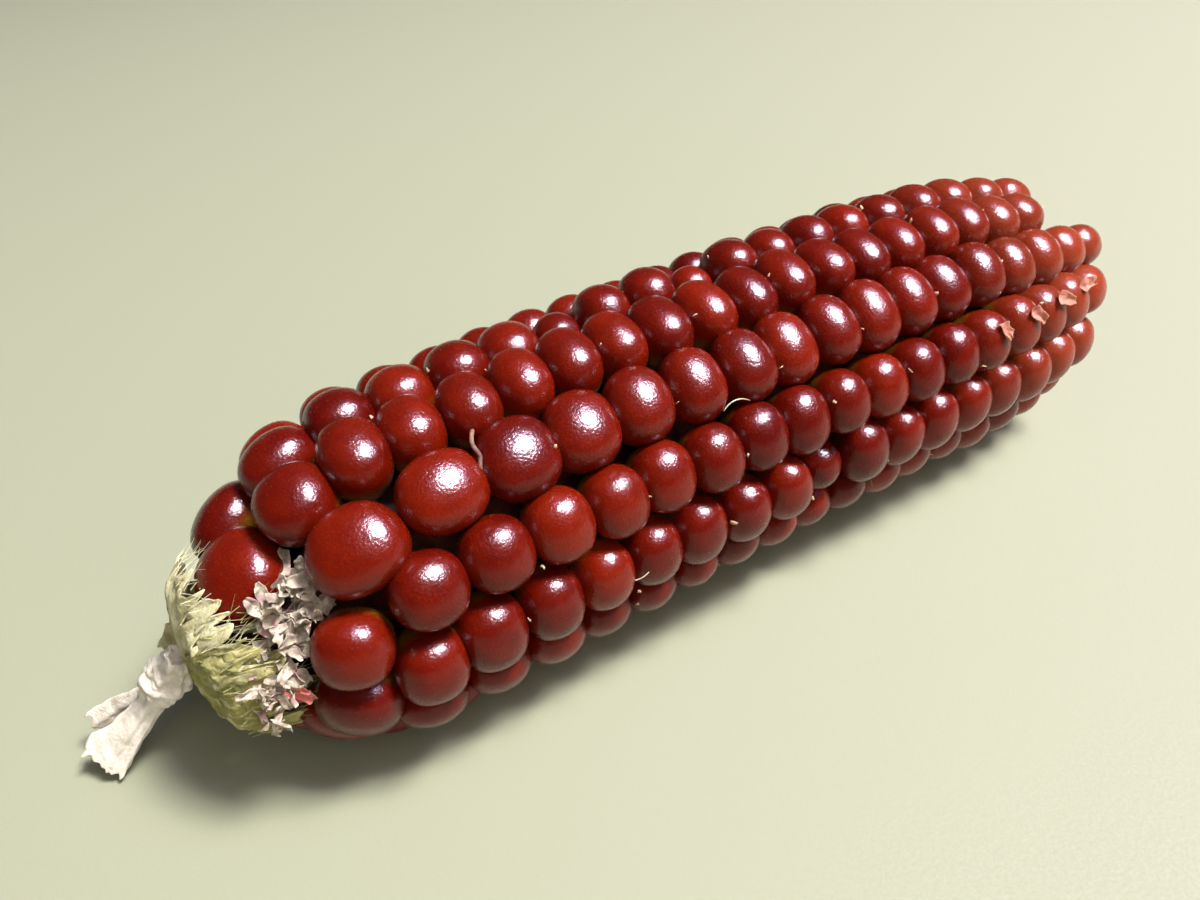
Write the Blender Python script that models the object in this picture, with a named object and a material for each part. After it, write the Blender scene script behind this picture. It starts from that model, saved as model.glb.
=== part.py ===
"""A small ear of dark red popcorn lying on its side.

Metres, +Z up. +X runs from the shank to the tip of the ear. The origin is the middle of the
ear's footprint on the surface that it lies on.

The ear is a cob with fourteen rows of kernels. A place on the ear is given by its distance
along the axis from the first kernel at the butt, its distance from the axis, and an angle
round the axis that is zero at the -Y side and a right angle on top.
"""

import math
import random
from collections import namedtuple

import bmesh
import bpy
from mathutils import Matrix, Vector

MM = 0.001

# The ear: distance from its axis to the crowns of the kernels, and the shape of the axis
EAR_RADIUS = 14.1 * MM
BUTT_SHOULDER = 10.2 * MM  # the ear has its full radius from here ...
TIP_SHOULDER = 63.9 * MM  # ... to here, and is rounded off beyond
BUTT_ROUNDING = 13.5 * MM
TIP_ROUNDING = 33.0 * MM
AXIS_HEIGHT = 12.75 * MM
BOW = 1.3 * MM  # rise of the axis in the middle of the ear
BOW_MIDDLE = 47.0 * MM
BOW_HALF_LENGTH = 40.0 * MM
LEAN = -0.015  # slope of the axis: both halves of the ear touch down
TWIST_RATE = math.radians(-6.5) / (80.0 * MM)  # turn of the rows along the ear

# Kernels
STRETCH_FADE = 2.5  # number of kernels over which the wide spacing at the butt fades out
CROWN_HEIGHT = 2.2 * MM  # from the widest part of a kernel out to its crown
ROOT_DEPTH = 4.5 * MM  # from the widest part in to its tip cap
ROOT_GAP = 0.35 * MM  # from a root to the cob
BUTT_ROOT_SHARE = 0.7  # kernels at the butt are shallower
BUTT_ROOT_LENGTH = 8.0 * MM
ROW_CLEARANCE = 0.17 * MM  # from the side of a kernel to the middle of the groove
MAX_TILT = math.radians(48)
TIP_NOD = math.radians(14)  # extra forward lean of the last kernels
NOD_START = 66.0 * MM
NOD_LENGTH = 18.0 * MM
TILT_STEP = 0.5 * MM  # step over which the outline's slope is measured
END_KERNEL_SHARE = 0.8  # length of an end kernel beyond its middle, in half pitches
CROWN_JITTER = 0.25 * MM
JITTER_SEED = 12

# Section of a kernel across its row, from the left root round the crown to the right root:
# across in half widths, and outwards in crown heights (above zero) or root depths (below).
KERNEL_SECTION = (
    (-0.5, -1.0),
    (-1.0, -0.05),
    (-0.82, 0.66),
    (0.0, 1.0),
    (0.82, 0.66),
    (1.0, -0.05),
    (0.5, -1.0),
)
# Rings along a kernel, in half lengths from its middle, and how full the section is there
KERNEL_RINGS = ((-0.6, 0.88), (0.0, 1.0), (0.6, 0.88))
VALLEY_FULLNESS = 0.5  # section between two kernels of a row
END_FULLNESS = 0.35

# For each row: its angle, the place of its first kernel, the extra length that the big first
# kernels take up, the number of kernels and their pitch, and how far the row is turned aside
# at its first kernel (swing) and half way along the ear (sway).
Row = namedtuple("Row", "angle start stretch count pitch swing sway")
ROWS = (
    Row(104.4, 5.0 * MM, 2.3 * MM, 18, 4.37 * MM, -2.0, 4.6),
    Row(77.5, -0.3 * MM, 2.0 * MM, 19, 4.22 * MM, -9.0, 2.8),
    Row(51.7, 6.6 * MM, 7.2 * MM, 17, 4.36 * MM, -8.0, -1.8),
    Row(24.6, 4.2 * MM, 4.4 * MM, 18, 4.3 * MM, -14.5, -3.1),
    Row(-6.8, 3.6 * MM, 2.2 * MM, 18, 4.37 * MM, -19.0, -2.0),
    Row(-35.0, 2.6 * MM, 5.0 * MM, 18, 4.2 * MM, -12.0, -1.0),
    Row(-59.5, 1.0 * MM, 2.4 * MM, 18, 4.3 * MM, -6.0, 0.0),
    Row(-84.0, 0.6 * MM, 2.0 * MM, 18, 4.3 * MM, -3.0, 0.0),
    Row(-108.5, 1.6 * MM, 3.0 * MM, 18, 4.3 * MM, 0.0, 0.0),
    Row(-133.0, 0.2 * MM, 1.8 * MM, 19, 4.3 * MM, 0.0, 0.0),
    Row(-157.5, 1.4 * MM, 2.6 * MM, 18, 4.3 * MM, 0.0, 0.0),
    Row(-182.0, -0.2 * MM, 1.6 * MM, 19, 4.3 * MM, 0.0, 0.0),
    Row(-206.5, 1.2 * MM, 2.8 * MM, 18, 4.3 * MM, -2.0, 1.5),
    Row(-231.0, 0.4 * MM, 2.2 * MM, 19, 4.3 * MM, -8.0, 3.0),
)
SWING_FADE = 3.2 * MM  # distance from its first kernel in which a row's swing fades out
SWAY_START = 5.0 * MM  # a row's sway begins here ...
SWAY_LENGTH = 75.0 * MM  # ... and is over after this length

# The cob: distance along the axis and radius, from the shank end to the tip
COB_OUTLINE = (
    (-5.8 * MM, 2.0 * MM),
    (-5.2 * MM, 2.8 * MM),
    (0.0 * MM, 2.6 * MM),
    (4.0 * MM, 3.1 * MM),
    (8.0 * MM, 5.6 * MM),
    (12.0 * MM, 6.7 * MM),
    (40.0 * MM, 6.8 * MM),
    (68.0 * MM, 6.6 * MM),
    (76.0 * MM, 5.8 * MM),
    (80.0 * MM, 4.6 * MM),
    (82.6 * MM, 2.6 * MM),
)
COB_SIDES = 20

# Husk base: a soft ragged cup round the butt, as an outline that is turned about the axis
COLLAR_OUTLINE = (
    (-5.9 * MM, 3.8 * MM),
    (-5.3 * MM, 5.2 * MM),
    (-4.0 * MM, 6.6 * MM),
    (-2.4 * MM, 7.3 * MM),
    (-2.9 * MM, 6.1 * MM),
    (-4.3 * MM, 5.0 * MM),
    (-4.5 * MM, 3.8 * MM),
)
COLLAR_SIDES = 24
COLLAR_RAGGEDNESS = 0.3 * MM

# Shank and husk remnants: stations along each piece, in the ear's own frame, with the half
# width and half thickness of the piece there. WIDE is the way in which they are flattened.
Station = namedtuple("Station", "place half_width half_thickness")
WIDE = Vector((0.52, -0.71, -0.47))
SHANK = (
    Station(Vector((-7.1, 1.2, -1.7)) * MM, 1.0 * MM, 0.9 * MM),
    Station(Vector((-7.6, 2.2, -3.1)) * MM, 1.2 * MM, 1.1 * MM),
    Station(Vector((-8.2, 2.8, -4.4)) * MM, 1.8 * MM, 1.7 * MM),
    Station(Vector((-9.2, 3.2, -5.6)) * MM, 1.7 * MM, 1.6 * MM),
    Station(Vector((-10.2, 3.4, -6.6)) * MM, 1.1 * MM, 1.0 * MM),
    Station(Vector((-12.4, 3.7, -8.7)) * MM, 1.4 * MM, 0.7 * MM),
    Station(Vector((-14.2, 4.1, -10.3)) * MM, 1.9 * MM, 0.7 * MM),
    Station(Vector((-15.3, 4.3, -11.1)) * MM, 2.1 * MM, 0.8 * MM),
)
HUSK_LOBE = (
    Station(Vector((-11.3, 5.4, -7.0)) * MM, 0.5 * MM, 0.4 * MM),
    Station(Vector((-12.8, 6.2, -8.0)) * MM, 0.7 * MM, 0.4 * MM),
    Station(Vector((-14.3, 6.9, -9.0)) * MM, 0.9 * MM, 0.4 * MM),
    Station(Vector((-15.2, 7.3, -9.5)) * MM, 0.8 * MM, 0.3 * MM),
)
HUSK_FLAP = (
    Station(Vector((-7.0, 5.3, -1.2)) * MM, 0.5 * MM, 0.15 * MM),
    Station(Vector((-7.6, 5.1, -2.8)) * MM, 0.9 * MM, 0.15 * MM),
    Station(Vector((-8.6, 5.3, -3.6)) * MM, 0.8 * MM, 0.15 * MM),
)
LOFT_SIDES = 10

# Chaff scales, where the first kernels are missing: place along the axis, distance from the
# axis, angle, and how far each scale is turned about its own root
Scale = namedtuple("Scale", "along radius angle turn")
CHAFF = (
    Scale(-1.4 * MM, 7.0 * MM, math.radians(58), math.radians(20)),
    Scale(1.6 * MM, 8.4 * MM, math.radians(52), math.radians(-35)),
    Scale(-0.9 * MM, 7.6 * MM, math.radians(42), math.radians(75)),
    Scale(1.5 * MM, 7.4 * MM, math.radians(36), math.radians(10)),
    Scale(-1.0 * MM, 7.4 * MM, math.radians(23), math.radians(-50)),
    Scale(-1.1 * MM, 7.2 * MM, math.radians(2), math.radians(30)),
)
SCALE_LENGTH = 2.2 * MM
SCALE_WIDTH = 1.3 * MM
SCALE_THICKNESS = 0.25 * MM
SCALE_CUPPING = 0.35 * MM

# Silk hairs caught in the grooves: ends along the axis, angle, and how high each one curls
Silk = namedtuple("Silk", "start end angle curl")
SILKS = (
    Silk(13.0 * MM, 17.5 * MM, math.radians(64.5), 0.35 * MM),
    Silk(36.0 * MM, 41.0 * MM, math.radians(8.5), 0.3 * MM),
    Silk(49.0 * MM, 53.5 * MM, math.radians(-17.5), 0.25 * MM),
)
SILK_RADIUS = 0.1 * MM
SILK_POINTS = 9
SILK_SINK = 0.5 * MM  # depth of a hair's ends below the crowns
SILK_SWAY = math.radians(1.2)

GROUND_SIZE = 0.2  # side of the block that levels the kernels that the ear lies on


def crown_radius(along):
    """Distance from the axis to the crowns of the kernels at a place along the ear."""
    if along < BUTT_SHOULDER:
        beyond = (BUTT_SHOULDER - along) / BUTT_ROUNDING
    elif along > TIP_SHOULDER:
        beyond = (along - TIP_SHOULDER) / TIP_ROUNDING
    else:
        beyond = 0.0
    return EAR_RADIUS * math.sqrt(1.0 - min(beyond, 0.95) ** 2)


def cob_radius(along):
    """Radius of the cob at a place along the ear."""
    for (start, first), (end, second) in zip(COB_OUTLINE, COB_OUTLINE[1:]):
        if start <= along <= end:
            return first + (second - first) * (along - start) / (end - start)
    return 0.0


def axis_rise(along):
    """Height of the bowed axis over the ear's own origin."""
    from_middle = (along - BOW_MIDDLE) / BOW_HALF_LENGTH
    return BOW * (1.0 - from_middle**2) + LEAN * (along - BOW_MIDDLE)


def ear_point(along, radius, angle):
    """Point in the ear's own frame for a place along, out from and round the axis."""
    return Vector((along, -radius * math.cos(angle), axis_rise(along) + radius * math.sin(angle)))


def row_angle(row, along):
    """Angle of a row at a place along the ear, with the ear's slight twist."""
    part = min(max((along - SWAY_START) / SWAY_LENGTH, 0.0), 1.0)
    bend = row.swing * math.exp(-max(along - row.start, 0.0) / SWING_FADE)
    bend += row.sway * math.sin(math.pi * part)
    return math.radians(row.angle + bend) + TWIST_RATE * (along - BOW_MIDDLE)


def kernel_tilt(along):
    """Angle by which a kernel leans back at the butt, or forward (negative) at the tip."""
    rise = crown_radius(along + TILT_STEP) - crown_radius(along - TILT_STEP)
    tilt = math.atan2(rise, 2.0 * TILT_STEP)
    nod = TIP_NOD * min(max((along - NOD_START) / NOD_LENGTH, 0.0), 1.0)
    return max(-MAX_TILT, min(MAX_TILT, tilt)) - nod


def kernel_places(row):
    """Places of a row's kernels along the ear."""
    return [
        row.start + row.pitch * number + row.stretch * (1.0 - math.exp(-number / STRETCH_FADE))
        for number in range(row.count)
    ]


def kernel_half_angle(index, along):
    """Angle from the middle of a row to its side, at a place along the ear."""
    angle = row_angle(ROWS[index], along)
    before = row_angle(ROWS[index - 1], along)
    after = row_angle(ROWS[(index + 1) % len(ROWS)], along)
    turn = 2.0 * math.pi
    groove = 0.5 * min((before - angle) % turn, (angle - after) % turn)
    return groove - ROW_CLEARANCE / (EAR_RADIUS - CROWN_HEIGHT)


def root_depth(along):
    """Depth of a kernel's root at a place along the ear."""
    share = min(max(along / BUTT_ROOT_LENGTH, 0.0), 1.0)
    return ROOT_DEPTH * (BUTT_ROOT_SHARE + (1.0 - BUTT_ROOT_SHARE) * share)


def material(name, colour, roughness):
    """Matt plant material of one colour."""
    made = bpy.data.materials.new(name)
    made.use_nodes = True
    shader = made.node_tree.nodes["Principled BSDF"]
    shader.inputs["Base Color"].default_value = (*colour, 1.0)
    shader.inputs["Roughness"].default_value = roughness
    shader.inputs["Metallic"].default_value = 0.0
    return made


def add_object(name, mesh, ear, finish):
    """Object for one sub-part, carried by the ear's empty."""
    made = bpy.data.objects.new(name, mesh)
    bpy.context.scene.collection.objects.link(made)
    made.parent = ear
    if finish is not None:
        mesh.materials.append(finish)
    return made


def mesh_from(bm, name):
    """Smooth-shaded mesh with its normals facing out."""
    bmesh.ops.recalc_face_normals(bm, faces=bm.faces)
    mesh = bpy.data.meshes.new(name)
    bm.to_mesh(mesh)
    bm.free()
    mesh.shade_smooth()
    mesh.set_sharp_from_angle(angle=math.radians(50))
    return mesh


def kernel_section(along, angle, half_angle, fullness, crown):
    """Points of a kernel's section across its row, at a place along the ear."""
    tilt = kernel_tilt(along)
    depth = root_depth(along)
    width = half_angle * (0.5 + 0.5 * fullness)
    points = []
    for across, out in KERNEL_SECTION:
        height = out * (CROWN_HEIGHT * fullness if out > 0.0 else depth) - CROWN_HEIGHT
        place = along - math.sin(tilt) * height
        reach = crown_radius(along) + crown + math.cos(tilt) * height
        reach = max(reach, cob_radius(place) + ROOT_GAP)
        points.append(ear_point(place, reach, angle + across * width))
    return points


def kernel_row(index, ear, finish):
    """One row of kernels, grown together into a single body."""
    row = ROWS[index]
    name = f"kernel_row_{index + 1:02d}"
    dice = random.Random(JITTER_SEED + index)
    places = kernel_places(row)
    middles = [0.5 * (first + second) for first, second in zip(places, places[1:])]
    starts = [places[0] - (middles[0] - places[0]) * END_KERNEL_SHARE] + middles
    ends = middles + [places[-1] + (places[-1] - middles[-1]) * END_KERNEL_SHARE]
    rings = [(starts[0], END_FULLNESS, 0.0)]
    for place, start, end in zip(places, starts, ends):
        crown = dice.uniform(-CROWN_JITTER, 0.0)
        for offset, fullness in KERNEL_RINGS:
            reach = (end - place) if offset > 0.0 else (place - start)
            rings.append((place + offset * reach, fullness, crown))
        rings.append((end, VALLEY_FULLNESS, 0.0))
    rings[-1] = (ends[-1], END_FULLNESS, 0.0)
    bm = bmesh.new()
    loops = []
    for along, fullness, crown in rings:
        half_angle = kernel_half_angle(index, along)
        points = kernel_section(along, row_angle(row, along), half_angle, fullness, crown)
        loops.append(closed_loop(bm, points))
    bridge(bm, loops)
    return add_object(name, mesh_from(bm, name), ear, finish)


def closed_loop(bm, points):
    """Edges of a closed loop through the points."""
    corners = [bm.verts.new(point) for point in points]
    return [bm.edges.new(pair) for pair in zip(corners, corners[1:] + corners[:1])]


def bridge(bm, loops):
    """Skin from each loop to the next, closed at both ends."""
    for first, second in zip(loops, loops[1:]):
        bmesh.ops.bridge_loops(bm, edges=first + second)
    bmesh.ops.holes_fill(bm, edges=[edge for edge in bm.edges if edge.is_boundary])


def ground_block():
    """Block under the surface that the ear lies on."""
    bm = bmesh.new()
    bmesh.ops.create_cube(bm, size=GROUND_SIZE)
    bmesh.ops.translate(bm, verts=bm.verts, vec=(0.0, 0.0, -0.5 * GROUND_SIZE))
    block = add_object("ground_block", mesh_from(bm, "ground_block"), None, None)
    block.hide_render = True
    block.display_type = "WIRE"
    return block


def level(piece, ground):
    """Cut a piece off at the surface that the ear lies on."""
    cut = piece.modifiers.new("level", "BOOLEAN")
    cut.operation = "DIFFERENCE"
    cut.solver = "EXACT"
    cut.object = ground


def turned(outline, sides, close, raggedness=0.0):
    """Body of revolution about the ear's axis, following its bow.

    A closed outline makes a ring, and an open one a solid with an end face at each end.
    """
    bm = bmesh.new()
    profile = [bm.verts.new((along, -radius, 0.0)) for along, radius in outline]
    edges = [bm.edges.new(pair) for pair in zip(profile, profile[1:])]
    if close:
        edges.append(bm.edges.new((profile[-1], profile[0])))
    bmesh.ops.spin(
        bm, geom=profile + edges, axis=(1.0, 0.0, 0.0), cent=(0.0, 0.0, 0.0),
        angle=2.0 * math.pi, steps=sides, use_merge=True,
    )
    bmesh.ops.holes_fill(bm, edges=[edge for edge in bm.edges if edge.is_boundary])
    dice = random.Random(JITTER_SEED)
    for vertex in bm.verts:
        vertex.co += Vector([dice.uniform(-raggedness, raggedness) for _ in range(3)])
        vertex.co.z += axis_rise(vertex.co.x)
    return bm


def cob(ear, finish):
    """The cob that the kernels grow on."""
    bm = turned(COB_OUTLINE, COB_SIDES, close=False)
    return add_object("cob", mesh_from(bm, "cob"), ear, finish)


def husk_collar(ear, finish):
    """Soft ragged husk base round the butt."""
    bm = turned(COLLAR_OUTLINE, COLLAR_SIDES, close=True, raggedness=COLLAR_RAGGEDNESS)
    return add_object("husk_collar", mesh_from(bm, "husk_collar"), ear, finish)


def lofted(name, stations, ear, finish):
    """Solid with an oval section that changes along its stations."""
    bm = bmesh.new()
    loops = []
    for index, station in enumerate(stations):
        before = stations[max(index - 1, 0)].place
        after = stations[min(index + 1, len(stations) - 1)].place
        forward = (after - before).normalized()
        thick = forward.cross(WIDE).normalized()
        wide = thick.cross(forward)
        turn = Matrix((wide, thick, forward)).transposed().to_4x4()
        size = Matrix.Diagonal((station.half_width, station.half_thickness, 1.0, 1.0))
        place = Matrix.Translation(station.place) @ turn @ size
        ring = bmesh.ops.create_circle(bm, segments=LOFT_SIDES, radius=1.0, matrix=place)
        loops.append(list({edge for vertex in ring["verts"] for edge in vertex.link_edges}))
    bridge(bm, loops)
    return add_object(name, mesh_from(bm, name), ear, finish)


def chaff_scale(number, scale, ear, finish):
    """Small cupped papery scale, standing out from the cob."""
    name = f"chaff_scale_{number:02d}"
    bm = bmesh.new()
    bmesh.ops.create_grid(bm, x_segments=2, y_segments=3, size=0.5)
    for vertex in bm.verts:
        narrowing = 1.0 - 0.5 * (vertex.co.y + 0.5)
        cup = SCALE_CUPPING * (2.0 * vertex.co.x) ** 2
        vertex.co = Vector((vertex.co.x * SCALE_WIDTH * narrowing, vertex.co.y * SCALE_LENGTH, cup))
    bmesh.ops.solidify(bm, geom=bm.faces[:], thickness=SCALE_THICKNESS)
    made = add_object(name, mesh_from(bm, name), ear, finish)
    made.location = ear_point(scale.along, scale.radius, scale.angle)
    lift = math.pi / 2.0 - scale.angle
    turn = Matrix.Rotation(lift, 3, "X") @ Matrix.Rotation(scale.turn, 3, "Z")
    made.rotation_euler = turn.to_euler()
    return made


def silk_hair(number, silk, ear, finish):
    """Dry silk hair lying in the groove between two rows."""
    name = f"silk_hair_{number:02d}"
    curve = bpy.data.curves.new(name, "CURVE")
    curve.dimensions = "3D"
    curve.bevel_depth = SILK_RADIUS
    curve.bevel_resolution = 1
    curve.use_fill_caps = True
    spline = curve.splines.new("POLY")
    spline.points.add(SILK_POINTS - 1)
    for index, point in enumerate(spline.points):
        part = index / (SILK_POINTS - 1)
        along = silk.start + (silk.end - silk.start) * part
        lift = silk.curl * (1.0 - math.cos(2.0 * math.pi * part)) - SILK_SINK
        sway = SILK_SWAY * math.sin(3.0 * math.pi * part)
        angle = silk.angle + TWIST_RATE * (along - BOW_MIDDLE) + sway
        point.co = (*ear_point(along, crown_radius(along) + lift, angle), 1.0)
    made = bpy.data.objects.new(name, curve)
    bpy.context.scene.collection.objects.link(made)
    made.parent = ear
    curve.materials.append(finish)
    return made


def centre_footprint(ear, pieces):
    """Move the ear sideways so that the origin is in the middle of its footprint."""
    bpy.context.view_layer.update()
    graph = bpy.context.evaluated_depsgraph_get()
    corners = []
    for piece in pieces:
        evaluated = piece.evaluated_get(graph)
        corners += [piece.matrix_world @ vertex.co for vertex in evaluated.to_mesh().vertices]
        evaluated.to_mesh_clear()
    for axis in (0, 1):
        values = [corner[axis] for corner in corners]
        ear.location[axis] -= 0.5 * (min(values) + max(values))


def main():
    """Build the ear."""
    for old in list(bpy.data.objects):
        bpy.data.objects.remove(old, do_unlink=True)
    ear = bpy.data.objects.new("ear", None)
    bpy.context.scene.collection.objects.link(ear)
    ear.location = (0.0, 0.0, AXIS_HEIGHT)

    kernel_skin = material("kernel_skin", (0.19, 0.008, 0.005), 0.28)
    cob_tissue = material("cob_tissue", (0.42, 0.26, 0.12), 0.85)
    husk_tissue = material("husk_tissue", (0.42, 0.42, 0.10), 0.8)
    dry_shank = material("dry_shank", (0.78, 0.73, 0.62), 0.85)
    chaff_paper = material("chaff_paper", (0.55, 0.47, 0.38), 0.8)
    silk_thread = material("silk_thread", (0.45, 0.27, 0.14), 0.6)

    pieces = [cob(ear, cob_tissue)]
    pieces += [kernel_row(index, ear, kernel_skin) for index in range(len(ROWS))]
    pieces.append(husk_collar(ear, husk_tissue))
    pieces.append(lofted("shank", SHANK, ear, dry_shank))
    pieces.append(lofted("husk_lobe", HUSK_LOBE, ear, dry_shank))
    pieces.append(lofted("husk_flap", HUSK_FLAP, ear, dry_shank))
    for number, scale in enumerate(CHAFF, start=1):
        pieces.append(chaff_scale(number, scale, ear, chaff_paper))
    for number, silk in enumerate(SILKS, start=1):
        pieces.append(silk_hair(number, silk, ear, silk_thread))

    ground = ground_block()
    for piece in pieces:
        if piece.name.startswith("kernel_row"):
            level(piece, ground)
    centre_footprint(ear, pieces)


if __name__ == "__main__":
    main()
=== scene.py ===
"""Visual model of a small dried ear of dark red popcorn lying on its side.

Metres, +Z up. +X runs from the shank to the tip of the ear. A place on the ear is given by
its distance along the axis from the first kernel at the butt, its distance from the axis,
and an angle round the axis that is zero at the -Y side and a right angle on top.
"""

import logging
import math
import random
from dataclasses import dataclass, field
from enum import Enum

import bmesh
import bpy
from mathutils import Matrix, Vector, noise


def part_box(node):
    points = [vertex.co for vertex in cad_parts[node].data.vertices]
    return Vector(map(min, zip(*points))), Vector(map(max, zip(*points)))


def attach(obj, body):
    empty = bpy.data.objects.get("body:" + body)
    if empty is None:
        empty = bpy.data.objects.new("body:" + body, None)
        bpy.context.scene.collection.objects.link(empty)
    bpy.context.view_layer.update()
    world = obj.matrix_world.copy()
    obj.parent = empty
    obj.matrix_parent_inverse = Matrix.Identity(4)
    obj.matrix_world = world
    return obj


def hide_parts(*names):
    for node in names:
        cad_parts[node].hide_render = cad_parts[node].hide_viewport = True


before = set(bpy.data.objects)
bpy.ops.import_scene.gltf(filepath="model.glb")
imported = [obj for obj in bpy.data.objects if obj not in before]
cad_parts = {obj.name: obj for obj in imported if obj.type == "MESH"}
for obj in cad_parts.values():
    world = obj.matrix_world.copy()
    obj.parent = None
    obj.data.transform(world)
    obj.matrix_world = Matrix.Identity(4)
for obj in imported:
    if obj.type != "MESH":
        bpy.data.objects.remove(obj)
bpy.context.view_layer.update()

MM = 0.001
BODY = "root"
SEED = 12
Node = bpy.types.Node
Socket = bpy.types.NodeSocket

log = logging.getLogger("popcorn_ear")


class Slot(Enum):
    """Material slots of the record."""

    KERNEL = "kernel_skin"
    COB = "cob_tissue"
    HUSK = "husk_tissue"
    SHANK = "dry_shank"
    CHAFF = "chaff_paper"
    SILK = "silk_thread"


def linear(colour: str) -> tuple[float, float, float, float]:
    """Turns an sRGB hex colour into linear light.

    Args:
        colour: Six hex digits after a hash sign.

    Returns:
        Red, green, blue and an alpha of one.
    """
    parts = [int(colour[start : start + 2], 16) / 255.0 for start in (1, 3, 5)]
    light = [p / 12.92 if p <= 0.04045 else ((p + 0.055) / 1.055) ** 2.4 for p in parts]
    return (light[0], light[1], light[2], 1.0)


def smooth(low: float, high: float, value: float) -> float:
    """Smooth step from nought at low to one at high."""
    part = min(max((value - low) / (high - low), 0.0), 1.0)
    return part * part * (3.0 - 2.0 * part)


# --------------------------------------------------------------------------- finishes


def add(
    tree: bpy.types.NodeTree, kind: str, inputs: dict[str | int, object], **settings: object
) -> Node:
    """Adds a node with its settings, values and links.

    Args:
        tree: Node tree that the node joins.
        kind: Blender's name for the kind of node.
        inputs: Value, or output socket to link, for each input by name or number.
        settings: Properties of the node itself.

    Returns:
        The new node.
    """
    made = tree.nodes.new(kind)
    for name, value in settings.items():
        setattr(made, name, value)
    for name, value in inputs.items():
        if isinstance(value, Socket):
            tree.links.new(value, made.inputs[name])
        else:
            made.inputs[name].default_value = value
    return made


@dataclass(frozen=True)
class Finish:
    """A procedural finish with its own material."""

    name: str

    def material(self) -> bpy.types.Material:
        """Builds the material.

        Returns:
            Material whose surface is the finish's shader.
        """
        made = bpy.data.materials.new(self.name)
        made.use_nodes = True
        tree = made.node_tree
        tree.nodes.clear()
        shader = self.shader(tree)
        add(tree, "ShaderNodeOutputMaterial", {"Surface": shader.outputs[0]})
        return made

    def shader(self, tree: bpy.types.NodeTree) -> Node:
        """Adds the nodes of the finish, whose last is the shader."""
        raise NotImplementedError

    def grain(self, tree: bpy.types.NodeTree, size: float, detail: float = 3.0) -> Node:
        """Noise on object coordinates.

        Args:
            tree: Node tree of the material.
            size: Size of one grain in metres.
            detail: Number of finer layers.

        Returns:
            The noise node.
        """
        place = add(tree, "ShaderNodeTexCoord", {})
        return add(
            tree,
            "ShaderNodeTexNoise",
            {"Vector": place.outputs["Object"], "Scale": 1.0 / size, "Detail": detail},
        )

    def spread(
        self,
        tree: bpy.types.NodeTree,
        value: Socket,
        start: tuple[float, float],
        end: tuple[float, float],
    ) -> Node:
        """Stretches a value from one range to another.

        Args:
            tree: Node tree of the material.
            value: Value to stretch.
            start: Low and high ends of the range it comes in.
            end: Low and high ends of the range it goes out in.

        Returns:
            The map range node.
        """
        inputs = {"Value": value, 1: start[0], 2: start[1], 3: end[0], 4: end[1]}
        return add(tree, "ShaderNodeMapRange", inputs, clamp=True)

    def blend(
        self, tree: bpy.types.NodeTree, share: Socket, first: object, second: object
    ) -> Socket:
        """Mixes two colours.

        Args:
            tree: Node tree of the material.
            share: Share of the second colour.
            first: Colour or socket at a share of nought.
            second: Colour or socket at a share of one.

        Returns:
            Socket of the mixed colour.
        """
        mix = add(tree, "ShaderNodeMix", {0: share, 6: first, 7: second}, data_type="RGBA")
        return mix.outputs[2]


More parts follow.
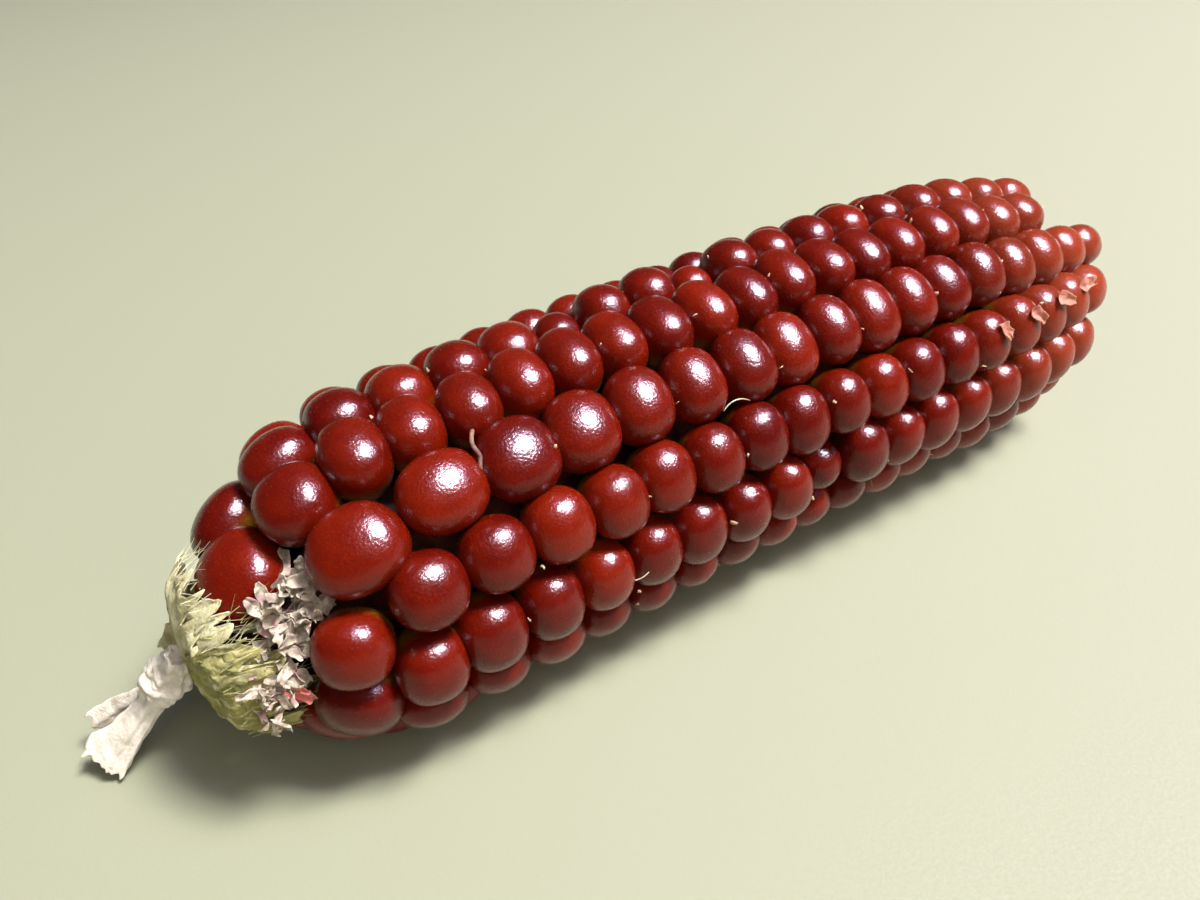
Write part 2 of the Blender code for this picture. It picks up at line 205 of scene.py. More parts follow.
@dataclass(frozen=True)
class PericarpFinish(Finish):
    """Waxy pericarp of a red popcorn kernel over translucent horny endosperm.

    The skin is a thin dyed shell: deep red on the crown, and a horny olive where it thins out
    towards the root, which is partly its own paler base and partly a painted reflection of green
    cloth. Nearest the root it turns to a painted shade, the shadow of the grooves between kernels.
    Dry wax gives a soft grainy gloss.
    """

    name: str = "red_popcorn_pericarp"
    deep: str = "#420201"
    bright: str = "#701602"
    tip: str = "#86361E"
    # Olive colour of the root ends: partly the skin's own paler base, partly a painted reflection
    # of green cloth.
    horn_and_painted_reflection: str = "#6A5210"
    # Painted shade: a near-black red that stands for the shadow in the grooves between kernels.
    painted_groove_shade: str = "#160101"
    wax_grain: float = 0.2 * MM  # drawn about three times coarser than the real skin cells
    mottle: float = 1.9 * MM
    mottling: float = 0.12  # share of the way from deep to bright that the mottle takes
    dents: float = 1.4 * MM
    gloss: tuple[float, float] = (0.17, 0.28)  # roughness of bare skin and of waxy skin
    skirt_height: tuple[float, float] = (0.54, 0.34)  # shares of the height where the olive root colour, with its painted reflection, shows
    # Shares of the height where the painted shade of the grooves starts and where it is full.
    painted_shade_height: tuple[float, float] = (0.30, 0.12)
    glow_depth: tuple[float, float, float] = (2.4, 0.4, 0.08)  # mm that each colour travels

    def shader(self, tree: bpy.types.NodeTree) -> Node:
        """Adds the nodes of the finish.

        Args:
            tree: Node tree of the material.

        Returns:
            The shader node.
        """
        tone = add(tree, "ShaderNodeAttribute", {}, attribute_name="tone").outputs["Fac"]
        depth = add(tree, "ShaderNodeAttribute", {}, attribute_name="depth").outputs["Fac"]
        mottle = self.grain(tree, self.mottle).outputs["Fac"]
        clouds = self.spread(
            tree, mottle, (0.35, 0.65), (-self.mottling, self.mottling)
        ).outputs[0]
        shade = add(tree, "ShaderNodeMath", {0: tone, 1: clouds}, operation="ADD")
        body = self.blend(tree, shade.outputs[0], linear(self.deep), linear(self.bright))
        pale = add(tree, "ShaderNodeAttribute", {}, attribute_name="pale").outputs["Fac"]
        body = self.blend(tree, pale, body, linear(self.tip))
        # Root ends turn olive, partly a painted reflection of green cloth.
        skirt = self.spread(tree, depth, self.skirt_height, (0.0, 0.6)).outputs[0]
        skin = self.blend(tree, skirt, body, linear(self.horn_and_painted_reflection))
        # Painted shade: the root ends darken to the shadow colour of the grooves.
        shadow = self.spread(tree, depth, self.painted_shade_height, (0.0, 1.0)).outputs[0]
        colour = self.blend(tree, shadow, skin, linear(self.painted_groove_shade))
        wax = self.grain(tree, self.wax_grain, 2.0).outputs["Fac"]
        dull = self.spread(tree, wax, (0.3, 0.7), self.gloss).outputs[0]
        lumps = self.grain(tree, self.dents, 1.0).outputs["Fac"]
        swell = add(
            tree,
            "ShaderNodeBump",
            {"Height": lumps, "Strength": 0.25, "Distance": 0.25 * MM},
        )
        grain = add(
            tree,
            "ShaderNodeBump",
            {
                "Height": wax,
                "Strength": 0.8,
                "Distance": 0.05 * MM,
                "Normal": swell.outputs[0],
            },
        )
        return add(
            tree,
            "ShaderNodeBsdfPrincipled",
            {
                "Base Color": colour,
                "Roughness": dull,
                "Normal": grain.outputs[0],
                "IOR": 1.42,
                "Subsurface Weight": 0.3,
                "Subsurface Radius": self.glow_depth,
                "Subsurface Scale": 1.0 * MM,
                "Specular IOR Level": 0.3,
                "Coat Weight": 0.1,
                "Coat Roughness": 0.24,
                "Coat IOR": 1.5,
            },
        )


@dataclass(frozen=True)
class PlantFinish(Finish):
    """Dry plant tissue: two clouded colours, dark pits, and a fibrous or woolly grain."""

    name: str = "dry_plant_tissue"
    light: str = "#C8B890"
    dark: str = "#8C7850"
    pit: str = "#3A2A1C"
    cloud: float = 1.6 * MM
    fibre: float = 0.25 * MM
    pits: float = 0.0
    relief: float = 0.12 * MM
    roughness: float = 0.85
    translucent: float = 0.15
    tint: str = ""  # colour of scattered stains, or none
    tint_size: float = 1.1 * MM
    unevenness: float = 0.08  # change of roughness to either side

    def shader(self, tree: bpy.types.NodeTree) -> Node:
        """Adds the nodes of the finish.

        Args:
            tree: Node tree of the material.

        Returns:
            The shader node.
        """
        cloud = self.grain(tree, self.cloud, 4.0).outputs["Fac"]
        share = self.spread(tree, cloud, (0.36, 0.64), (0.0, 1.0)).outputs[0]
        colour = self.blend(tree, share, linear(self.light), linear(self.dark))
        fibre = self.grain(tree, self.fibre, 4.0).outputs["Fac"]
        holes = self.spread(tree, fibre, (0.44, 0.30), (0.0, self.pits)).outputs[0]
        colour = self.blend(tree, holes, colour, linear(self.pit))
        if self.tint:
            patch = self.grain(tree, self.tint_size, 2.0).outputs["Fac"]
            stain = self.spread(tree, patch, (0.56, 0.68), (0.0, 0.8)).outputs[0]
            colour = self.blend(tree, stain, colour, linear(self.tint))
        relief = add(
            tree,
            "ShaderNodeBump",
            {"Height": fibre, "Strength": 0.8, "Distance": self.relief},
        )
        dullest, glossiest = self.roughness + self.unevenness, self.roughness - self.unevenness
        rough = self.spread(tree, fibre, (0.3, 0.7), (glossiest, dullest))
        return add(
            tree,
            "ShaderNodeBsdfPrincipled",
            {
                "Base Color": colour,
                "Roughness": rough.outputs[0],
                "Normal": relief.outputs[0],
                "IOR": 1.45,
                "Subsurface Weight": self.translucent,
                "Subsurface Radius": (1.0, 0.8, 0.4),
                "Subsurface Scale": 0.6 * MM,
            },
        )


# --------------------------------------------------------------------------- the ear's form


@dataclass(frozen=True)
class EarForm:
    """Shape of the whole ear: the bowed axis, and the outlines of the crowns and the cob."""

    radius: float = 14.1 * MM
    butt_shoulder: float = 10.2 * MM
    tip_shoulder: float = 63.9 * MM
    butt_rounding: float = 13.5 * MM
    tip_rounding: float = 33.0 * MM
    axis_height: float = 12.75 * MM
    bow: float = 1.3 * MM
    middle: float = 47.0 * MM
    half_length: float = 40.0 * MM
    lean: float = -0.015
    twist: float = math.radians(-6.5) / (80.0 * MM)
    cob_start: float = 5.8 * MM
    most_tilt: float = math.radians(40)
    nod: float = math.radians(14)  # extra forward lean of the last kernels
    nod_start: float = 66.0 * MM
    nod_length: float = 18.0 * MM
    most_beyond: float = 0.95  # keeps the rounded ends from closing to a point

    def origin(self) -> Vector:
        """Place of the first kernel's section on the axis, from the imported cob's box."""
        low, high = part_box("cob")
        return Vector((low.x + self.cob_start, 0.5 * (low.y + high.y), self.axis_height))

    def crown_radius(self, along: float) -> float:
        """Distance from the axis to the crowns.

        Args:
            along: Place along the axis.

        Returns:
            The distance, which falls off at both rounded ends.
        """
        beyond = max(
            (self.butt_shoulder - along) / self.butt_rounding,
            (along - self.tip_shoulder) / self.tip_rounding,
            0.0,
        )
        return self.radius * math.sqrt(1.0 - min(beyond, self.most_beyond) ** 2)

    def rise(self, along: float) -> float:
        """Height of the bowed axis over the ear's origin."""
        part = (along - self.middle) / self.half_length
        return self.bow * (1.0 - part**2) + self.lean * (along - self.middle)

    def point(self, along: float, radius: float, angle: float) -> Vector:
        """Point in space for a place along, out from and round the axis."""
        up = self.rise(along) + radius * math.sin(angle)
        return self.origin() + Vector((along, -radius * math.cos(angle), up))

    def tilt(self, along: float) -> float:
        """Lean of a kernel.

        Args:
            along: Place along the axis.

        Returns:
            The angle, back towards the butt, and negative where it leans to the tip.
        """
        step = 0.5 * MM
        rise = self.crown_radius(along + step) - self.crown_radius(along - step)
        nod = self.nod * smooth(0.0, 1.0, (along - self.nod_start) / self.nod_length)
        slope = math.atan2(rise, 2.0 * step)
        return max(-self.most_tilt, min(self.most_tilt, slope)) - nod

    def seat(self, along: float, radius: float, angle: float, tilt: float) -> Matrix:
        """Frame of a thing that stands out from the axis.

        Args:
            along: Place along the axis.
            radius: Distance from the axis.
            angle: Angle round the axis.
            tilt: Lean towards the butt.

        Returns:
            Matrix with X across the row, Y along the ear and Z outwards.
        """
        outward = Vector((0.0, -math.cos(angle), math.sin(angle)))
        across = Vector((0.0, math.sin(angle), math.cos(angle)))
        ahead = Vector((1.0, 0.0, 0.0))
        up = outward * math.cos(tilt) - ahead * math.sin(tilt)
        forward = ahead * math.cos(tilt) + outward * math.sin(tilt)
        turn = Matrix((across, forward, up)).transposed().to_4x4()
        return Matrix.Translation(self.point(along, radius, angle)) @ turn


EAR = EarForm()


# --------------------------------------------------------------------------- pieces


def piece(
    name: str,
    bm: bmesh.types.BMesh,
    material: bpy.types.Material,
    nodes: tuple[str, ...] = (),
    levels: int = 0,
    wall: float = 0.0,
) -> bpy.types.Object:
    """Makes a finished piece that rides on the ear.

    Args:
        name: Name of the piece.
        bm: Its mesh, which is used up.
        material: Its finish.
        nodes: CAD nodes that it stands for.
        levels: Levels of subdivision surface.
        wall: Thickness that a sheet is given, or nought for a closed body.

    Returns:
        The new object.
    """
    mesh = bpy.data.meshes.new(name)
    bm.to_mesh(mesh)
    bm.free()
    mesh.shade_smooth()
    made = bpy.data.objects.new(name, mesh)
    bpy.context.scene.collection.objects.link(made)
    mesh.materials.append(material)
    if wall:
        thicken = made.modifiers.new("wall", "SOLIDIFY")
        thicken.thickness = wall
        thicken.offset = 0.0
    if levels:
        smoother = made.modifiers.new("smooth", "SUBSURF")
        smoother.levels = levels
        smoother.render_levels = levels
    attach(made, BODY)
    if nodes:
        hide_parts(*nodes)
    return made


@dataclass(frozen=True)
class Kernel:
    """One popcorn kernel: a rounded crown on a wedge that narrows to its root.

    Its sizes are half widths to the left, right, butt and tip, and heights over and under
    its widest part.
    """

    seat: Matrix
    left: float
    right: float
    before: float
    after: float
    crown: float
    root: float
    tone: float  # nought for a deep skin, one for a bright one
    pale: float  # share of the tip's colour

    boxiness: float = 0.08
    swell: float = 1.12  # makes up for what the subdivision surface takes off
    narrowing: float = 0.5  # share of the width that is lost at the root

    def shaped(self, corner: Vector) -> Vector:
        """Place of a corner of the cage on the kernel.

        Args:
            corner: Corner of a cube of side two about the origin.

        Returns:
            Point in the seat's frame: across, along and out.
        """
        x, y, z = corner
        ball = Vector(
            (
                x * math.sqrt(1.0 - y * y / 2.0 - z * z / 2.0 + y * y * z * z / 3.0),
                y * math.sqrt(1.0 - z * z / 2.0 - x * x / 2.0 + z * z * x * x / 3.0),
                z * math.sqrt(1.0 - x * x / 2.0 - y * y / 2.0 + x * x * y * y / 3.0),
            )
        )
        u, v, w = ball.lerp(corner, self.boxiness) * self.swell
        w = min(w, 0.5 + 0.5 * w)
        narrow = 1.0 - self.narrowing * smooth(0.0, 1.0, -w)
        side = self.right if u > 0.0 else self.left
        end = self.after if v > 0.0 else self.before
        out = w * (self.crown if w > 0.0 else self.root)
        return Vector((u * side * narrow, v * end * (0.5 + 0.5 * narrow), out))


@dataclass(frozen=True)
class KernelRow:
    """A row of kernels along the ear."""

    number: int
    angle: float  # round the axis at the middle of the ear, in degrees
    start: float  # place of the first kernel
    stretch: float  # extra length that the big first kernels take up
    count: int
    pitch: float = 4.3 * MM
    swing: float = 0.0  # sideways turn of the first kernels, in degrees
    sway: float = 0.0  # sideways turn of the kernels half way along, in degrees
    small: tuple[int, ...] = ()  # kernels that stayed small

    fade: float = 2.5  # kernels over which the stretch dies away
    crown: float = 2.7 * MM
    root: float = 4.6 * MM
    fullness: float = 0.3  # how far up the crown a kernel is at its widest
    most: float = 3.45 * MM  # largest half width
    half_step: float = 0.54  # half length of a kernel in steps of the row, so that they press
    half_gap: float = 0.51  # half width of a kernel in gaps between the rows
    roomy: tuple[float, float] = (2.0 * MM, 14.0 * MM)  # where butt kernels can spread
    small_share: float = 0.84
    small_dip: float = 0.9 * MM
    short_root: float = 0.7  # share of the root's length that the first kernel has
    root_growth: float = 8.0 * MM  # roots are full length beyond this place
    ripening: tuple[float, float] = (60.0 * MM, 82.0 * MM)  # where skins turn pale
    most_pale: float = 0.85
    swing_fade: float = 3.2 * MM
    sway_start: float = 5.0 * MM
    sway_length: float = 75.0 * MM

    def places(self) -> list[float]:
        """Places of the kernels along the ear.

        Returns:
            The places from butt to tip.
        """
        return [
            self.start + self.pitch * n + self.stretch * (1.0 - math.exp(-n / self.fade))
            for n in range(self.count)
        ]

    def turn(self, along: float) -> float:
        """Angle of the row, with its own bends and the twist of the ear.

        Args:
            along: Place along the axis.

        Returns:
            The angle round the axis.
        """
        part = min(max((along - self.sway_start) / self.sway_length, 0.0), 1.0)
        bend = self.swing * math.exp(-max(along - self.start, 0.0) / self.swing_fade)
        bend += self.sway * math.sin(math.pi * part)
        return math.radians(self.angle + bend) + EAR.twist * (along - EAR.middle)

    def kernels(self, before: "KernelRow", after: "KernelRow") -> list[Kernel]:
        """Kernels of the row, each filling the room between its neighbours.

        Args:
            before: The row at a larger angle.
            after: The row at a smaller angle.

        Returns:
            The kernels from butt to tip.
        """
        dice = random.Random(SEED + self.number)
        places = self.places()
        steps = [b - a for a, b in zip(places, places[1:])]
        kernels = []
        for n, place in enumerate(places):
            tilt = EAR.tilt(place)
            place += dice.uniform(-0.14, 0.14) * MM
            low = EAR.crown_radius(place) - dice.uniform(0.0, 0.35) * MM
            size = dice.uniform(0.97, 1.03)
            if n in self.small:
                size *= self.small_share
                low -= self.small_dip
            radius = low - self.crown
            angle = self.turn(place) + math.radians(dice.uniform(-0.8, 0.8))
            wide = radius + self.fullness * self.crown
            back = self.half_step * steps[max(n - 1, 0)] / math.cos(tilt)
            ahead = self.half_step * steps[min(n, len(steps) - 1)] / math.cos(tilt)
            least = min(back, ahead, self.most) * (1.0 - smooth(*self.roomy, place))
            right = max(self.half_gap * self.gap(before, place) * wide, least)
            left = max(self.half_gap * after.gap(self, place) * wide, least)
            lean = tilt + math.radians(dice.uniform(-4.0, 4.0))
            seat = EAR.seat(place, radius, angle, lean)
            spin = Matrix.Rotation(math.radians(dice.uniform(-6.0, 6.0)), 4, "Z")
            roll = Matrix.Rotation(math.radians(dice.uniform(-4.0, 4.0)), 4, "Y")
            grown = smooth(0.0, 1.0, place / self.root_growth)
            root = self.root * (self.short_root + (1.0 - self.short_root) * grown)
            kernels.append(
                Kernel(
                    seat @ spin @ roll,
                    min(left, self.most) * size,
                    min(right, self.most) * size,
                    min(back, self.most) * size,
                    min(ahead, self.most) * size,
                    self.crown,
                    root,
                    dice.uniform(0.2, 0.8),
                    self.most_pale * smooth(*self.ripening, place) * dice.uniform(0.6, 1.0),
                )
            )
        return kernels

    def gap(self, before: "KernelRow", along: float) -> float:
        """Angle from this row to the one before it at a place along the ear."""
        return (before.turn(along) - self.turn(along)) % (2.0 * math.pi)

    def build(
        self, before: "KernelRow", after: "KernelRow", skin: bpy.types.Material
    ) -> bpy.types.Object:
        """Builds the row as one piece of separate closed kernels.

        Args:
            before: The row at a larger angle.
            after: The row at a smaller angle.
            skin: Finish of the kernels.

        Returns:
            The finished piece.
        """
        bm = bmesh.new()
        tone = bm.verts.layers.float.new("tone")
        depth = bm.verts.layers.float.new("depth")
        pale = bm.verts.layers.float.new("pale")
        for kernel in self.kernels(before, after):
            done = len(bm.verts)
            cube = bmesh.ops.create_cube(bm, size=2.0)["verts"]
            edges = list(dict.fromkeys(edge for vertex in cube for edge in vertex.link_edges))
            bmesh.ops.subdivide_edges(bm, edges=edges, cuts=2, use_grid_fill=True)
            corners = bm.verts[:][done:]
            for vertex in corners:
                vertex[tone] = kernel.tone
                vertex[pale] = kernel.pale
                # Height on the kernel: it places the olive root colour with its painted
                # reflection, and the painted shade of the grooves.
                vertex[depth] = 0.5 + 0.5 * vertex.co.z
                vertex.co = kernel.seat @ kernel.shaped(vertex.co)
            lowest = min(vertex.co.z for vertex in corners)
            if lowest < 0.0:
                bmesh.ops.translate(bm, verts=corners, vec=(0.0, 0.0, -lowest))
        name = f"kernels_{self.number:02d}"
        node = f"kernel_row_{self.number:02d}"
        return piece(name, bm, skin, (node,), levels=2)


@dataclass
class Kernels:
    """All the kernels of the ear, in fourteen rows."""

    rows: tuple[KernelRow, ...] = (
        KernelRow(1, 104.4, 5.0 * MM, 2.3 * MM, 18, 4.37 * MM, -2.0, 4.6, (5, 8)),
        KernelRow(2, 77.5, -0.3 * MM, 2.0 * MM, 19, 4.22 * MM, -9.0, 2.8),
        KernelRow(3, 51.7, 6.6 * MM, 7.2 * MM, 17, 4.36 * MM, -8.0, -1.8),
        KernelRow(4, 24.6, 4.2 * MM, 4.4 * MM, 18, 4.3 * MM, -14.5, -3.1, most=2.85 * MM),
        KernelRow(5, -6.8, 3.6 * MM, 2.2 * MM, 18, 4.37 * MM, -19.0, -2.0, (9,)),
        KernelRow(6, -35.0, 2.6 * MM, 5.0 * MM, 18, 4.2 * MM, -12.0, -1.0),
        KernelRow(7, -59.5, 1.0 * MM, 2.4 * MM, 18, swing=-6.0),
        KernelRow(8, -84.0, 0.6 * MM, 2.0 * MM, 18, swing=-3.0),
        KernelRow(9, -108.5, 1.6 * MM, 3.0 * MM, 18),
        KernelRow(10, -133.0, 0.2 * MM, 1.8 * MM, 19),
        KernelRow(11, -157.5, 1.4 * MM, 2.6 * MM, 18),
        KernelRow(12, -182.0, -0.2 * MM, 1.6 * MM, 19),
        KernelRow(13, -206.5, 1.2 * MM, 2.8 * MM, 18, swing=-2.0, sway=1.5),
        KernelRow(14, -231.0, 0.4 * MM, 2.2 * MM, 19, swing=-8.0, sway=3.0),
    )
    skin: Finish = field(default_factory=PericarpFinish)

    def build(self) -> list[bpy.types.Object]:
        """Builds every row.

        Returns:
            The finished pieces, a row each.
        """
        skin = self.skin.material()
        count = len(self.rows)
        return [
            row.build(self.rows[n - 1], self.rows[(n + 1) % count], skin)
            for n, row in enumerate(self.rows)
        ]


def between(stops: tuple[tuple[float, ...], ...], share: float) -> tuple[float, ...]:
    """Value on a broken line.

    Args:
        stops: Tuples of numbers, evenly spread from nought to one.
        share: Place on the line from nought to one.

    Returns:
        The numbers at that place.
    """
    place = min(max(share, 0.0), 1.0) * (len(stops) - 1)
    first = min(int(place), len(stops) - 2)
    part = place - first
    return tuple(a + (b - a) * part for a, b in zip(stops[first], stops[first + 1]))


@dataclass(frozen=True)
class Bract:
    """Thin crumpled sheet of husk wrapped part of the way round the butt."""

    name: str
    outline: tuple[tuple[float, float], ...]  # along and radius in mm, from root to free edge
    start: float  # angle of its first side, in degrees
    sweep: float  # degrees to its other side
    crumple: float = 0.35 * MM
    ragged: float = 0.35  # share of its length that the deepest tears take
    thickness: float = 0.12 * MM
    wave: float = 1.3 * MM  # size of one crumple
    fineness: float = 2.2  # degrees to a step
    tears: float = 0.13  # tears to a degree
    hem: float = 0.12  # share of its width over which its sides are shorter
    lowest: float = 0.3 * MM

    def spot(self, along: float, radius: float, angle: float) -> Vector:
        """Point of the smooth sheet at a place along and round the ear."""
        return EAR.point(along, radius, angle)

    def build(
        self, material: bpy.types.Material, slot: Slot, nodes: tuple[str, ...] = ()
    ) -> bpy.types.Object:
        """Wraps, crumples and thickens the sheet.

        Args:
            material: Its finish.
            slot: Not used.
            nodes: CAD nodes that it stands for.

        Returns:
            The finished piece.
        """
        bm = bmesh.new()
        steps = max(12, int(self.sweep / self.fineness))
        bmesh.ops.create_grid(bm, x_segments=steps, y_segments=14, size=0.5)
        for vertex in bm.verts:
            turn, out = vertex.co.x + 0.5, vertex.co.y + 0.5
            seed = Vector((turn * self.sweep * self.tears, self.start, 0.0))
            tear = 0.5 + 0.5 * noise.fractal(seed, 0.7, 2.0, 4)
            side = smooth(0.0, self.hem, turn) * smooth(0.0, self.hem, 1.0 - turn)
            reach = out * (1.0 - self.ragged * tear) * (0.75 + 0.25 * side)
            along, radius = between(self.outline, reach)
            angle = math.radians(self.start + turn * self.sweep)
            place = self.spot(along * MM, radius * MM, angle)
            push = noise.noise_vector(place / self.wave)
            push += 0.5 * noise.noise_vector(place / (0.4 * self.wave))
            vertex.co = place + push * self.crumple * (0.3 + 0.7 * out)
            vertex.co.z = max(vertex.co.z, self.lowest)
        bmesh.ops.recalc_face_normals(bm, faces=bm.faces)
        return piece(self.name, bm, material, nodes, 1, self.thickness)


@dataclass(frozen=True)
class Cupule(Bract):
    """Membranous cup round the butt side of one kernel.

    Its outline is height over the kernel's widest part and radius about the kernel's own
    middle line, and its angles are round that line.
    """

    kernel: Matrix = field(default_factory=Matrix)

    def spot(self, along: float, radius: float, angle: float) -> Vector:
        """Point of the smooth cup at a height and an angle round the kernel."""
        return self.kernel @ Vector((radius * math.cos(angle), radius * math.sin(angle), along))


def thread_curve(name: str, thickness: float, sides: int, steps: int) -> bpy.types.Curve:
    """Starts a curve for round closed threads.

    Args:
        name: Name of the curve.
        thickness: Radius of a thread in mm.
        sides: Extra sides of its section.
        steps: Steps between two of its points.

    Returns:
        The curve, with no threads yet.
    """
    curve = bpy.data.curves.new(name, "CURVE")
    curve.dimensions = "3D"
    curve.bevel_depth = thickness * MM
    curve.bevel_resolution = sides
    curve.use_fill_caps = True
    curve.resolution_u = steps
    return curve


def thread(curve: bpy.types.Curve, count: int, order: int) -> bpy.types.Spline:
    """Adds a thread to a curve.

    Args:
        curve: Curve that it joins.
        count: Number of its points.
        order: Number of points that pull on each part of it.

    Returns:
        The thread, whose points have no place yet.
    """
    spline = curve.splines.new("NURBS")
    spline.points.add(count - 1)
    spline.use_endpoint_u = True
    spline.order_u = order
    return spline


def thread_piece(
    curve: bpy.types.Curve,
    material: bpy.types.Material,
    nodes: tuple[str, ...] = (),
) -> bpy.types.Object:
    """Makes a finished piece of threads that rides on the ear.

    Args:
        curve: Curve that holds the threads.
        material: Their finish.
        nodes: CAD nodes that they stand for.

    Returns:
        The new object.
    """
    made = bpy.data.objects.new(curve.name, curve)
    bpy.context.scene.collection.objects.link(made)
    curve.materials.append(material)
    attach(made, BODY)
    if nodes:
        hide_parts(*nodes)
    return made


@dataclass(frozen=True)
class Fibres:
    """Tuft of fine fibres that fray from the edge of the husk base.

    Places, radii and lengths are in mm, and angles in degrees.
    """

    name: str
    count: int
    along: tuple[float, float]
    angle: tuple[float, float]
    radius: float
    length: float
    thickness: float = 0.035

    def build(self, material: bpy.types.Material, slot: Slot) -> bpy.types.Object:
        """Draws the fibres as one bundle of round curves.

        Args:
            material: Their finish.
            slot: Not used.

        Returns:
            The finished piece.
        """
        dice = random.Random(SEED + self.count)
        curve = thread_curve(self.name, self.thickness, 0, 3)
        for _ in range(self.count):
            along = dice.uniform(*self.along)
            angle = dice.uniform(*self.angle)
            radius = self.radius + dice.uniform(-0.3, 0.3)
            step = self.length * dice.uniform(0.5, 1.2) / 3.0
            sway, lift = dice.uniform(-5.0, 5.0), dice.uniform(-0.05, 0.25)
            for number, target in enumerate(thread(curve, 4, 3).points):
                spot = EAR.point(
                    (along + step * number) * MM,
                    (radius + lift * number**1.5) * MM,
                    math.radians(angle + sway * number + dice.uniform(-2.0, 2.0)),
                )
                spot.z = max(spot.z, 0.1 * MM)
                target.co = (*spot, 1.0)
                target.radius = 1.0 - 0.25 * number
        return thread_piece(curve, material)


@dataclass(frozen=True)
class Flake:
    """Papery scale of chaff: a crinkled, cupped flap with a torn tip.

    Places and sizes are in mm, and angles in degrees.
    """

    along: float
    radius: float
    angle: float
    turn: float
    lift: float
    length: float = 2.4
    width: float = 1.5
    steps: tuple[int, int] = (5, 7)  # across and along
    taper: float = 0.45
    torn: float = 0.25
    crinkle: float = 0.28
    crinkle_size: float = 0.55

    def add_to(self, bm: bmesh.types.BMesh, seed: int) -> None:
        """Adds the flake to a mesh.

        Args:
            bm: Mesh that it joins.
            seed: Number that sets its crinkles.
        """
        done = len(bm.verts)
        seat = EAR.seat(self.along * MM, self.radius * MM, math.radians(self.angle), 0.0)
        seat = seat @ Matrix.Rotation(math.radians(self.turn), 4, "Z")
        seat = seat @ Matrix.Rotation(math.radians(self.lift), 4, "X")
        across, endways = self.steps
        bmesh.ops.create_grid(bm, x_segments=across, y_segments=endways, size=0.5)
        for vertex in bm.verts[:][done:]:
            x, y = vertex.co.x, vertex.co.y + 0.5
            odd = noise.noise_vector(Vector((3.1 * x, 3.1 * y, 7.3 * seed)))
            taper = 1.0 - self.taper * y * y
            tear = self.torn * noise.noise(Vector((9.0 * x, 0.0, 3.7 * seed)))
            crease = 0.5 * abs(x) + 0.35 * y * y + 0.25 * odd.z
            local = Vector(
                (
                    (x * taper + 0.15 * odd.x) * self.width,
                    (y * (1.0 + tear) + 0.1 * odd.y) * self.length,
                    crease * self.width,
                )
            )
            place = seat @ (local * MM)
            push = noise.noise_vector(place / (self.crinkle_size * MM))
            vertex.co = place + self.crinkle * MM * push


@dataclass(frozen=True)
class Stem:
    """Dry stem or husk stub: an oval section that changes along its stations.

    Each station is x, y, z, half width and half thickness in mm, from the ear's origin.
    """

    name: str
    stations: tuple[tuple[float, float, float, float, float], ...]
    ribs: int = 7
    rib_depth: float = 0.07  # shares of the section's half width, as the lumps are
    lumps: float = 0.12
    lump_size: float = 0.8  # mm
    knuckle: float = 0.0  # further lumps in the first half
    frayed: float = 0.0  # how deep its end is torn
    wide: Vector = field(default_factory=lambda: Vector((0.52, -0.71, -0.47)))
    sides: int = 28
    rings: int = 26
    lowest: float = 0.05 * MM

    def place(self, share: float) -> tuple[Vector, float, float]:
        """Middle, half width and half thickness at a share of the stem's length."""
        values = between(self.stations, share)
        return Vector(values[:3]) * MM, values[3] * MM, values[4] * MM

    def build(
        self, material: bpy.types.Material, slot: Slot, nodes: tuple[str, ...] = ()
    ) -> bpy.types.Object:
        """Lofts the stem through its rings, then ribs, dents and frays it.

        Args:
            material: Its finish.
            slot: Not used.
            nodes: CAD nodes that it stands for.

        Returns:
            The finished piece.
        """
        bm = bmesh.new()
        home = EAR.origin()
        loops = []
        for ring in range(self.rings + 1):
            share = ring / self.rings
            middle, wide, thick = self.place(share)
            ahead = self.place(min(share + 0.05, 1.0))[0] - self.place(max(share - 0.05, 0.0))[0]
            forward = ahead.normalized()
            over = forward.cross(self.wide).normalized()
            turn = Matrix((over.cross(forward), over, forward)).transposed().to_4x4()
            made = bmesh.ops.create_circle(bm, segments=self.sides, radius=1.0)["verts"]
            for number, vertex in enumerate(made):
                way = 2.0 * math.pi * number / self.sides
                rib = 1.0 + self.rib_depth * math.cos(self.ribs * way + 2.0 * share)
                seed = Vector((math.cos(way), math.sin(way), 0.0)) * 1.3
                lump = noise.fractal(seed + middle / (self.lump_size * MM), 1.0, 2.0, 3)
                rib += (self.lumps + self.knuckle * smooth(0.5, 0.3, share)) * lump
                fray = self.frayed * 1.2 * MM * smooth(0.8, 1.0, share)
                back = fray * noise.noise(seed * 5.0)
                local = Vector((vertex.co.x * wide * rib, vertex.co.y * thick * rib, back))
                vertex.co = home + middle + turn.to_3x3() @ local
            edges = dict.fromkeys(edge for vertex in made for edge in vertex.link_edges)
            loops.append(list(edges))
        for first, second in zip(loops, loops[1:]):
            bmesh.ops.bridge_loops(bm, edges=first + second)
        bmesh.ops.holes_fill(bm, edges=[edge for edge in bm.edges if edge.is_boundary])
        for end in [face for face in bm.faces if len(face.verts) > 4]:
            bmesh.ops.inset_individual(bm, faces=[end], thickness=0.22 * MM, depth=-0.12 * MM)
            bmesh.ops.inset_individual(bm, faces=[end], thickness=0.25 * MM, depth=-0.25 * MM)
            bmesh.ops.poke(bm, faces=[end])
        for vertex in bm.verts:
            vertex.co.z = max(vertex.co.z, self.lowest)
        bmesh.ops.recalc_face_normals(bm, faces=bm.faces)
        return piece(self.name, bm, material, nodes, levels=1)


